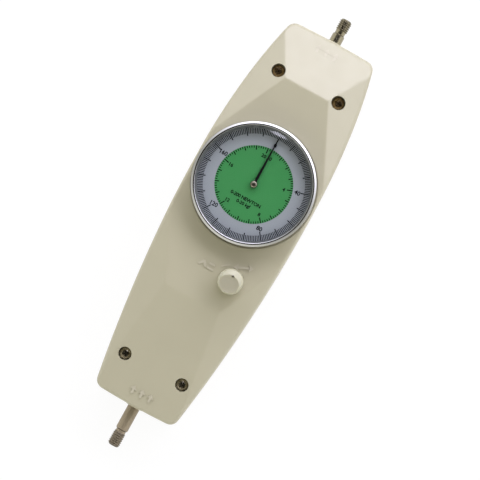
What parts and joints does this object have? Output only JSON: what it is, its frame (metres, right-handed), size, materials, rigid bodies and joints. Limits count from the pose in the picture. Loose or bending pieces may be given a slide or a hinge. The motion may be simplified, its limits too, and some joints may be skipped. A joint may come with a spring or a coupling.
{
  "type": "force gauge",
  "caption": "Analogue push-pull force gauge: faceted two-shell housing, sliding rod with threaded ends, round dial with turning bezel, pointer, gear train and hold selector knob.",
  "frame": {"origin": "on the resting face, under the middle of the box, below the rod's axis", "axes": "+Z out of the dial, +Y along the rod toward the pull end, +X to the dial's right as it is read"},
  "size_m": [0.0604, 0.23, 0.05],
  "materials": {
    "ivory_abs": "fine satin moulded ABS",
    "bronze_screw": "dull yellow-passivated bronze tone",
    "zinc_plate": "zinc plated pressing",
    "ground_steel": "ground steel, warm grey",
    "dark_steel": "black oxide steel",
    "bush_bronze": "sintered bronze",
    "brass": "turned and stamped brass",
    "white_polymer": "acetal",
    "spring_steel": "drawn spring wire",
    "chrome": "polished chrome plate",
    "black_paint": "satin black paint",
    "dial_print": "lavender-grey face with a green centre, printed scales",
    "glass": "clear mineral glass",
    "frosted_plastic": "translucent milky plastic"
  },
  "bodies": {
    "housing": {"front_cover": "ivory_abs", "rear_cover": "ivory_abs", "cover_screw_1": "bronze_screw", "cover_screw_2": "bronze_screw", "cover_screw_3": "bronze_screw", "cover_screw_4": "bronze_screw", "chassis": "zinc_plate", "chassis_screw_1": "ground_steel", "chassis_screw_2": "ground_steel", "chassis_screw_3": "ground_steel", "chassis_screw_4": "ground_steel", "pull_bush": "bush_bronze", "push_bush": "bush_bronze", "spring_bracket": "zinc_plate", "bracket_screw_1": "ground_steel", "bracket_screw_2": "ground_steel", "bar_guide": "white_polymer", "movement_pillar_1": "brass", "movement_pillar_2": "brass", "movement_pillar_3": "brass", "movement_lower_plate": "brass", "movement_upper_plate": "brass", "plate_spacer_1": "brass", "plate_spacer_2": "brass", "plate_spacer_3": "brass", "plate_screw_1": "ground_steel", "plate_screw_2": "ground_steel", "plate_screw_3": "ground_steel", "dial_case": "black_paint", "case_screw_1": "ground_steel", "case_screw_2": "ground_steel", "case_screw_3": "ground_steel", "pawl_pin": "ground_steel", "pawl_leaf_spring": "dark_steel", "main_spring": "spring_steel", "hairspring": "spring_steel"},
    "rod": {"pull_rod": "ground_steel", "push_rod": "ground_steel", "slide_bar": "dark_steel", "rack": "ground_steel", "rack_screw_1": "ground_steel", "rack_screw_2": "ground_steel", "hold_ratchet": "dark_steel", "spring_collar": "dark_steel"},
    "wheel": {"wheel_arbor": "ground_steel", "rack_pinion": "ground_steel", "gear_wheel": "brass"},
    "pointer": {"pointer_arbor": "ground_steel", "centre_pinion": "ground_steel", "pointer": "black_paint", "pointer_hub": "chrome", "hairspring_collet": "spring_steel"},
    "bezel_group": {"bezel": "chrome", "crystal": "glass", "dial_ring": "black_paint", "dial_plate": "dial_print"},
    "selector": {"selector_knob": "frosted_plastic", "selector_spindle": "ground_steel", "selector_cam": "brass"},
    "pawl": {"hold_pawl": "ground_steel"}
  },
  "joints": [
    {"name": "rod_slide", "type": "slide", "parent": "housing", "child": "rod", "axis": [0, 1, 0], "range_m": [0, 0.01], "stiffness_N_per_m": 20000, "deforming": ["main_spring"]},
    {"name": "wheel_spin", "type": "hinge", "parent": "housing", "child": "wheel", "pos_m": [-0.011, 0.01505, 0.028], "axis": [0, 0, 1], "range_deg": [0, 115]},
    {"name": "pointer_spin", "type": "hinge", "parent": "housing", "child": "pointer", "pos_m": [0, 0.0245, 0.045], "axis": [0, 0, 1], "range_deg": [-361, 0], "deforming": ["hairspring"]},
    {"name": "bezel_turn", "type": "hinge", "parent": "housing", "child": "bezel_group", "pos_m": [0, 0.0245, 0.045], "axis": [0, 0, 1], "continuous": true},
    {"name": "selector_turn", "type": "hinge", "parent": "housing", "child": "selector", "pos_m": [0.0122, -0.0197, 0.045], "axis": [0, 0, 1], "range_deg": [0, 90]},
    {"name": "pawl_swing", "type": "hinge", "parent": "housing", "child": "pawl", "pos_m": [0.0125, -0.005, 0.019], "axis": [0, 0, 1], "range_deg": [0, 3.9]}
  ],
  "couplings": [
    {"joint": "wheel_spin", "follows": "rod_slide", "rad_per_m": 200},
    {"joint": "pointer_spin", "follows": "rod_slide", "rad_per_m": -628.57},
    {"joint": "pawl_swing", "follows": "selector_turn", "ratio": 0.043333}
  ]
}
